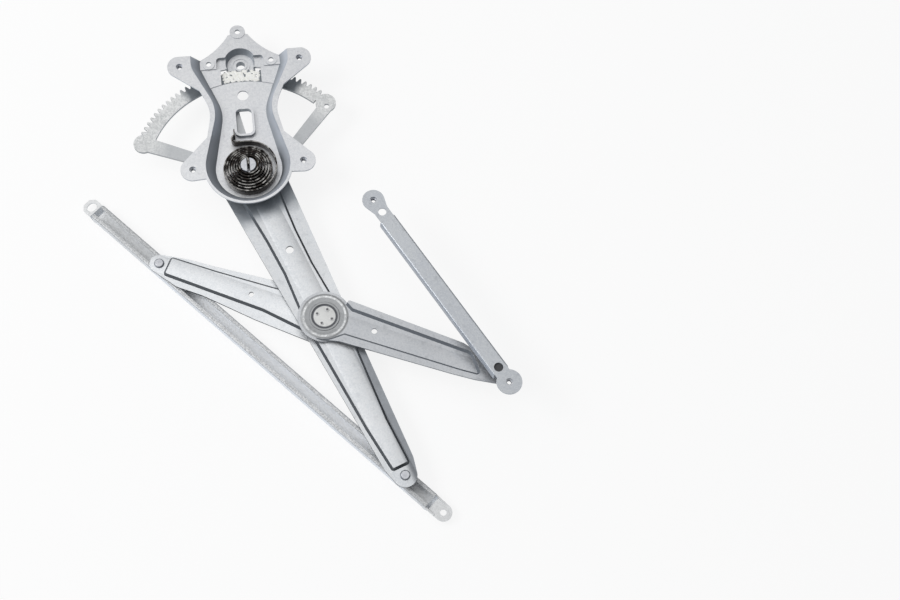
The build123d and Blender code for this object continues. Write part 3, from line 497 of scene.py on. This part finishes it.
nylon = Finish("roller_nylon")
moulding = nylon.noise(nylon.place(), 300, 3, 0.5)
nylon_tone = nylon.blend(nylon.ramp(moulding, 0.3, 0.7), (0.035, 0.036, 0.04), (0.06, 0.062, 0.066))
nylon.link("Base Color", nylon_tone)
nylon.link("Roughness", nylon.ramp(moulding, 0.3, 0.7, 0.42, 0.58))
nylon.bump(moulding, 0.1, 0.0001)
print("dark finishes", [finish.material.name for finish in (oxide, bronze, nylon)])

# %% [markdown]
# ## Rounded edges
#
# Real sheet has no perfectly sharp edge, and its folds have a radius, which catches a thin line of light.
# Modifiers add that without touching the solids: the loose triangles are joined, flat areas become single
# faces, and then the edges are rounded. Modelling each fold's radius by hand would change meshes that have
# to stay as they are.

# %% Join the triangles and round the edges
triangle_gap = 2e-6
flat_limit, crease_limit = math.radians(0.3), math.radians(24)
fine_edge, fine_steps, fold_steps = 0.25, 2, 3
mm_per_metre = 1000


def join_triangles(piece):
    piece.modifiers.new("join", "WELD").merge_threshold = triangle_gap


def round_edges(piece, width=fine_edge, steps=fine_steps):
    """Make flat areas single faces, and round each edge sharper than the crease limit, by a width in mm."""
    flat = piece.modifiers.new("flats", "DECIMATE")
    flat.decimate_type = "DISSOLVE"
    flat.angle_limit = flat_limit
    edge = piece.modifiers.new("edges", "BEVEL")
    edge.width, edge.segments = width / mm_per_metre, steps
    edge.limit_method = "ANGLE"
    edge.angle_limit = crease_limit
    edge.use_clamp_overlap = True
    shading = piece.modifiers.new("shading", "WEIGHTED_NORMAL")
    shading.weight = 80
    shading.keep_sharp = True


# %% [markdown]
# ## Finishes on the CAD nodes
#
# Each CAD node keeps its shape and only takes a finish and rounded edges. The pan and the arms have wide
# soft folds, so their edges are rounded more, and all the rest gets the thin broken edge of a stamped part.
# A table says which finish goes where, so no node is forgotten.

# %% Assign the finishes
ear_nuts = [f"ear_nut_{place}" for place in ("upper_left", "upper_right", "lower_left", "lower_right")]
studs = ["lift_stud", "left_stud", "guide_stud", "pivot_arbor", "pivot_washer"]
rivets = [f"sector_rivet_{number}" for number in (1, 2, 3)]
washers = ["hub_washer_front", "hub_washer_rear"]
finishes = {
    plate_zinc: ["base_plate"],
    lift_zinc: ["lift_arm"],
    rear_zinc: ["equalizer_rear_arm"],
    front_zinc: ["equalizer_front_arm"],
    sector_zinc: ["sector_gear"],
    channel_zinc: ["lift_channel"],
    rail_zinc: ["guide_rail"],
    rivet_zinc: studs + rivets + washers + ear_nuts + ["rail_nut_upper", "rail_nut_lower"],
    collar_zinc: ["hub_collar"],
    oxide.material: ["spiral_spring"],
    bronze.material: ["arbor_bush"],
    nylon.material: ["lift_roller", "left_roller", "guide_roller"],
}
folds = {"base_plate": 0.9, "lift_arm": 1.2, "equalizer_rear_arm": 1.0, "equalizer_front_arm": 1.0}
for finish, names in finishes.items():
    for name in names:
        piece = nodes[name]
        piece.data.materials.clear()
        piece.data.materials.append(finish)
        piece.data.shade_smooth()
        join_triangles(piece)
        round_edges(piece, folds.get(name, fine_edge), fold_steps if name in folds else fine_steps)
print("finished", sum(len(names) for names in finishes.values()), "nodes")

# %% [markdown]
# ## Plain pieces from modifiers
#
# Some shapes are made by modifiers or by a tree of nodes. Only their result is kept, as a plain mesh at the
# origin that rides on a body, because a finished piece should hold its own place and need nothing else. Two
# short helpers do that for every added piece.


# %% Keep what modifiers make as a plain piece
def add_object(name, content):
    made = bpy.data.objects.new(name, content)
    bpy.context.scene.collection.objects.link(made)
    return made


def keep_result(maker, name, body):
    """The maker's evaluated shape as a plain piece that rides on a body."""
    ready = maker.evaluated_get(bpy.context.evaluated_depsgraph_get())
    plain = bpy.data.meshes.new_from_object(ready)
    bpy.data.objects.remove(maker)
    piece = add_object(name, plain)
    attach(piece, body)
    print(name, "faces", len(plain.polygons), "on", body)
    return piece


# %% [markdown]
# ## The spring's inner end
#
# The straight inner end of the spring sits in the arbor's slot and turns with the arbor, while the outer
# end stays on the plate. Between the two the real strip winds up a little. Here it is parted just inside
# the first turn: the coil rides on the plate and the inner end on the lift arm. One block round the end
# cuts both, and it stops short of the first turn, so the end stays clear of that turn through the arm's
# whole swing, and grazes only the cut face, by a tenth of a millimetre. A coil that winds would be truer,
# but it would need another shape for every angle.

# %% Part the spring at its inner end
spring = nodes["spiral_spring"]
end_reach, end_half_width, inside_arbor = 0.0084, 0.0016, 0.006
inner_end = [vertex.co for vertex in spring.data.vertices if vertex.co.xy.length < inside_arbor]
end_turn = math.atan2(sum(point.y for point in inner_end), sum(point.x for point in inner_end))
spring_floor, spring_crest = (corner[2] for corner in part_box("spiral_spring"))
block = bmesh.new()
bmesh.ops.create_cube(
    block,
    size=1.0,
    matrix=Matrix.Rotation(end_turn, 4, "Z")
    @ Matrix.Translation((end_reach / 2, 0, (spring_floor + spring_crest) / 2))
    @ Matrix.Diagonal((end_reach, 2 * end_half_width, 2 * (spring_crest - spring_floor), 1)),
)
block_mesh = bpy.data.meshes.new("spring_block")
block.to_mesh(block_mesh)
block.free()
cutter = add_object("spring_block", block_mesh)
parts = (("spring_coil", "DIFFERENCE", "base"), ("spring_inner_end", "INTERSECT", "lift_arm"))
for name, operation, body in parts:
    maker = add_object(f"{name}_maker", spring.data.copy())
    join_triangles(maker)
    cut = maker.modifiers.new("cut", "BOOLEAN")
    cut.object, cut.operation, cut.solver = cutter, operation, "EXACT"
    round_edges(maker)
    piece = keep_result(maker, name, body)
    piece.data.materials.clear()
    piece.data.materials.append(oxide.material)
    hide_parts("spiral_spring")
bpy.data.objects.remove(cutter)

# %% [markdown]
# ## Shapes by Geometry Nodes
#
# What repeats or follows a rule is made by a tree of geometry nodes with named sizes, run on a simple mesh
# and then kept as a plain one. The same sums work here as in the finishes. This class adds the tree's named
# inputs and its last two steps, which make the copies real and give them their material.


# %% A geometry tree with named inputs
class Recipe(Nodes):
    """A geometry tree under construction, with named inputs."""

    def __init__(self, name):
        super().__init__(bpy.data.node_groups.new(name, "GeometryNodeTree"))
        for way in ("INPUT", "OUTPUT"):
            self.tree.interface.new_socket("Geometry", in_out=way, socket_type="NodeSocketGeometry")
        self.inputs = self.tree.nodes.new("NodeGroupInput")
        self.result = self.tree.nodes.new("NodeGroupOutput")
        self.names = {}

    def given(self, name):
        return Field(self, self.inputs.outputs[name])

    def size(self, name, kind="NodeSocketFloat"):
        item = self.tree.interface.new_socket(name, in_out="INPUT", socket_type=kind)
        self.names[name] = item.identifier
        return self.given(name)

    def smooth(self, geometry):
        return self.node("GeometryNodeSetShadeSmooth", Geometry=geometry)

    def finish(self, geometry, material):
        real = self.node("GeometryNodeRealizeInstances", Geometry=geometry)
        coated = self.node("GeometryNodeSetMaterial", Geometry=real, Material=material)
        self.feed(self.result.inputs[0], coated)

    def make(self, name, mesh, body, slot, sizes):
        """Run the tree on a mesh with the given sizes, and keep the result."""
        maker = add_object(f"{name}_maker", mesh)
        modifier = maker.modifiers.new("tree", "NODES")
        modifier.node_group = self.tree
        for key, value in sizes.items():
            modifier[self.names[key]] = value
        return keep_result(maker, name, body)


# %% [markdown]
# ## Screw threads
#
# The six weld nuts are cut with a metric thread, of which a looker-in sees a few bright turns. A thread is
# a helix, so a spiral curve with a small round section makes one, and the same tree sets a copy at each
# nut's place. The places come from the record's mounts, so a thread can't drift from its nut.

# %% Threads in the weld nuts
thread = Recipe("nut_thread")
pitch, turns, bore, wire = (thread.size(name) for name in ("Pitch", "Turns", "Bore Radius", "Crest Radius"))
coating = thread.size("Finish", "NodeSocketMaterial")
helix = thread.node(
    "GeometryNodeCurveSpiral", Resolution=20, Rotations=turns, Start_Radius=bore, End_Radius=bore,
    Height=pitch * turns,
)
section = thread.node("GeometryNodeCurvePrimitiveCircle", Resolution=5, Radius=wire)
crest = thread.node("GeometryNodeCurveToMesh", Curve=helix, Profile_Curve=section, Fill_Caps=True)
copies = thread.node(
    "GeometryNodeInstanceOnPoints", Points=thread.given("Geometry"), Instance=thread.smooth(crest)
)
thread.finish(copies, coating)

thread_pitch, thread_turns, crest_radius = 0.001, 4.4, 0.00032
threaded = (("ear_threads", "ear_thread", "base"), ("rail_threads", "rail_thread", "guide_rail"))
for name, stem, body in threaded:
    mounts = [mount for mount in frame["record"]["mounts"] if mount["name"].startswith(stem)]
    starts = []
    for mount in mounts:
        x, y, z = mount["pos_m"]
        starts.append((x, y, z - thread_pitch * thread_turns / 2))
    start_mesh = bpy.data.meshes.new(name)
    start_mesh.from_pydata(starts, [], [])
    sizes = {
        "Pitch": thread_pitch,
        "Turns": thread_turns,
        "Bore Radius": mounts[-1]["dims"]["r_mm"] / mm_per_metre,
        "Crest Radius": crest_radius,
        "Finish": rivet_zinc,
    }
    thread.make(name, start_mesh, body, "nut_steel", sizes)

# %% [markdown]
# ## Grease on the sector's teeth
#
# The teeth run in pale grease, which the drive wheel squeezes into flat, lumpy smears. Modelled by hand
# this would take long, but blobs that melt together are just what a volume gives: points scattered over the
# teeth become balls, the balls merge into one volume, the volume becomes a skin, and the skin is pressed
# flat on the steel.

# %% Grease finish
cream = Finish("tooth_grease")
lumps = cream.noise(cream.place(), 420, 4, 0.6)
cream_tone = cream.blend(cream.ramp(lumps, 0.35, 0.65), (0.9, 0.89, 0.83), (0.97, 0.968, 0.95))
cream.link("Base Color", cream_tone)
cream.link("Roughness", cream.ramp(lumps, 0.3, 0.7, 0.25, 0.5))
cream.bump(lumps, 0.5, 0.0003)
print("finish", cream.material.name)

# %% [markdown]
# ## The recipe for a smear
#
# The tree takes any patch of surface and covers it with a skin of melted balls. Each point's height over
# the steel is then multiplied by a flatness below one, which presses the skin flat without narrowing it. A
# fixed seed makes the same smear every time.

# %% Grease recipe
smear = Recipe("tooth_smear")
density, ball, grid, flatness = (
    smear.size(name) for name in ("Density", "Ball Radius", "Grid Size", "Flatness")
)
base_height = smear.size("Base Height")
coating = smear.size("Finish", "NodeSocketMaterial")
scatter = smear.node(
    "GeometryNodeDistributePointsOnFaces", Mesh=smear.given("Geometry"), Density=density, Seed=7
)
balls = smear.node(
    "GeometryNodePointsToVolume", {"resolution_mode": "VOXEL_SIZE"}, Points=scatter, Voxel_Size=grid,
    Radius=ball,
)
skin = smear.node("GeometryNodeVolumeToMesh", {"resolution_mode": "GRID"}, Volume=balls)
spot = smear.node("GeometryNodeInputPosition")
pressed = (smear.part_of(spot, "Z") - base_height) * flatness + base_height
lowered = smear.node(
    "ShaderNodeCombineXYZ", X=smear.part_of(spot, "X"), Y=smear.part_of(spot, "Y"), Z=pressed
)
flattened = smear.node("GeometryNodeSetPosition", Geometry=skin, Position=lowered)
smear.finish(smear.smooth(flattened), coating)
print("recipes", [tree.name for tree in bpy.data.node_groups])

# %% [markdown]
# ## The greased stretch
#
# The recipe starts from a curved strip on top of the sector, over the teeth that lie in the head of the pan
# at rest. It rides on the lift arm, as the sector does, so the grease stays on its teeth when the arm
# swings.

# %% Grease on the teeth
sector_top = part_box("sector_gear")[1][2]
grease_half, inner_reach, outer_reach, steps = math.radians(9.6), 0.1075, 0.1195, 24
corners = []
for step in range(steps + 1):
    angle = plate_axis + grease_half * (2 * step / steps - 1)
    for reach in (inner_reach, outer_reach):
        corners.append((reach * math.cos(angle), reach * math.sin(angle), sector_top))
patch = bpy.data.meshes.new("grease_patch")
patch.from_pydata(corners, [], [(2 * k, 2 * k + 1, 2 * k + 3, 2 * k + 2) for k in range(steps)])
sizes = {
    "Density": 290000.0,
    "Ball Radius": 0.00162,
    "Grid Size": 0.0004,
    "Flatness": 0.27,
    "Base Height": sector_top,
    "Finish": cream.material,
}
smear.make("tooth_grease", patch, "lift_arm", "sector_steel", sizes)

# %% [markdown]
# ## Floor
#
# The object lies on pale paper. A floor that is only lit turns grey away from the lamps, so to the camera
# and in reflections most of its tone is a plain white glow, and the rest is lit and keeps the object's
# shadow. Stronger lamps would whiten the floor too, but they would bleach the steel with it.

# %% Floor
floor_gap, floor_half, glow_share = 0.0006, 6.0, 0.85
floor_height = cad_box[0][2] - floor_gap
floor_mesh = bpy.data.meshes.new("floor")
shape = bmesh.new()
bmesh.ops.create_grid(shape, x_segments=1, y_segments=1, size=floor_half)
shape.to_mesh(floor_mesh)
shape.free()
floor_mesh.transform(Matrix.Translation((0, 0, floor_height)))
floor = add_object("floor", floor_mesh)
paper = Finish("floor_paper")
paper.link("Base Color", (0.93, 0.93, 0.93, 1))
paper.link("Roughness", 0.9)
paper.link("Specular IOR Level", 0.1)
camera_ray, glossy_ray, through_ray = (
    paper.node("ShaderNodeLightPath", output=kind)
    for kind in ("Is Camera Ray", "Is Glossy Ray", "Is Transmission Ray")
)
seen = (camera_ray + glossy_ray + through_ray) * glow_share
glow = paper.node("ShaderNodeEmission", Color=(1, 1, 1, 1), Strength=1.0)
plain_paper = Field(paper, paper.shader.outputs[0])
glowing_paper = paper.node("ShaderNodeMixShader", slots={0: seen, 1: plain_paper, 2: glow})
paper.feed(paper.tree.nodes["Material Output"].inputs["Surface"], glowing_paper)
floor_mesh.materials.append(paper.material)
print("floor at", floor_height)

# %% [markdown]
# ## Surround
#
# Bare metal shows what is round it. The surround is brighter overhead than at the sides, and brighter on
# the camera's left than on its right, so level faces turn pale and the slopes of the pan and the arms turn
# darker, each side by its own amount. A sum on the direction of view gives that without an image of a room.
# The camera itself sees plain white.

# %% Surround
left_way = (-0.758, -0.652)
left_gain, side_light, top_light, top_height = 0.75, 0.22, 0.58, 0.9
world = bpy.data.worlds.new("studio")
bpy.context.scene.world = world
world.use_nodes = True
sky = Nodes(world.node_tree)
background = sky.tree.nodes["Background"]
direction = sky.node("ShaderNodeTexCoord", output="Generated")
leftness = sky.part_of(direction, "X") * left_way[0] + sky.part_of(direction, "Y") * left_way[1]
overhead = sky.ramp(sky.part_of(direction, "Z"), 0.0, top_height, side_light, top_light)
strength = overhead * (leftness * left_gain + 1.0)
camera_ray = sky.node("ShaderNodeLightPath", output="Is Camera Ray")
sky.feed(background.inputs["Strength"], strength * (1 - camera_ray) + camera_ray)
sky.feed(background.inputs["Color"], (0.975, 0.985, 1.0, 1))
print("surround", side_light, "at the sides,", top_light, "overhead")

# %% [markdown]
# ## Lamps
#
# The surround alone gives no shadows. A soft lamp from the left gives the main ones, and a wide, weak lamp
# above softens them. Large lamps make broad, gentle gleams on rolled sheet, where small ones would make
# hard sparks.


# %% Lamps
def soft_lamp(name, place, size, watts, aim=(0.15, -0.05, 0)):
    lamp = bpy.data.lights.new(name, "AREA")
    lamp.shape = "RECTANGLE"
    lamp.size, lamp.size_y = size
    lamp.energy = watts
    holder = add_object(name, lamp)
    holder.location = place
    holder.rotation_euler = (Vector(aim) - Vector(place)).to_track_quat("-Z", "Y").to_euler()
    print(name, watts, "W at", place)


soft_lamp("key_lamp", (-1.0, -1.0, 1.5), (1.1, 0.8), 17)
soft_lamp("top_lamp", (-0.25, 0.5, 2.2), (1.6, 1.6), 7)

# %% [markdown]
# ## Camera
#
# The camera stands 1.2 m up, off the near side of the object, and looks down at it 22 degrees off the plumb
# line. The frame is turned a little, and the object lies left of its middle. The axes are worked out step
# by step, because three plain turns are easier to follow than one set of Euler angles: lean, roll about the
# view, and then turn about the upright.

# %% Camera
stand, focal_length = (0.5043, -0.3856, 1.1969), 52
lean, roll, turn = math.radians(21.95), math.radians(-9.8), math.radians(31.61)
forward = Vector((0, math.sin(lean), -math.cos(lean)))
right = Vector((1, 0, 0))
down = Vector((0, -math.cos(lean), -math.sin(lean)))
right, down = right * math.cos(roll) + down * math.sin(roll), down * math.cos(roll) - right * math.sin(roll)
upright = Matrix.Rotation(turn, 3, "Z")
right, down, forward = upright @ right, upright @ down, upright @ forward
lens = bpy.data.cameras.new("camera")
lens.sensor_width = 36
lens.lens = focal_length
lens.clip_end = 20
camera = add_object("camera", lens)
facing = Matrix((right, -down, -forward)).transposed().to_4x4()
camera.matrix_world = Matrix.Translation(stand) @ facing
bpy.context.scene.camera = camera
bpy.context.scene.view_settings.view_transform = "Standard"
print("camera looks along", tuple(round(part, 3) for part in forward))
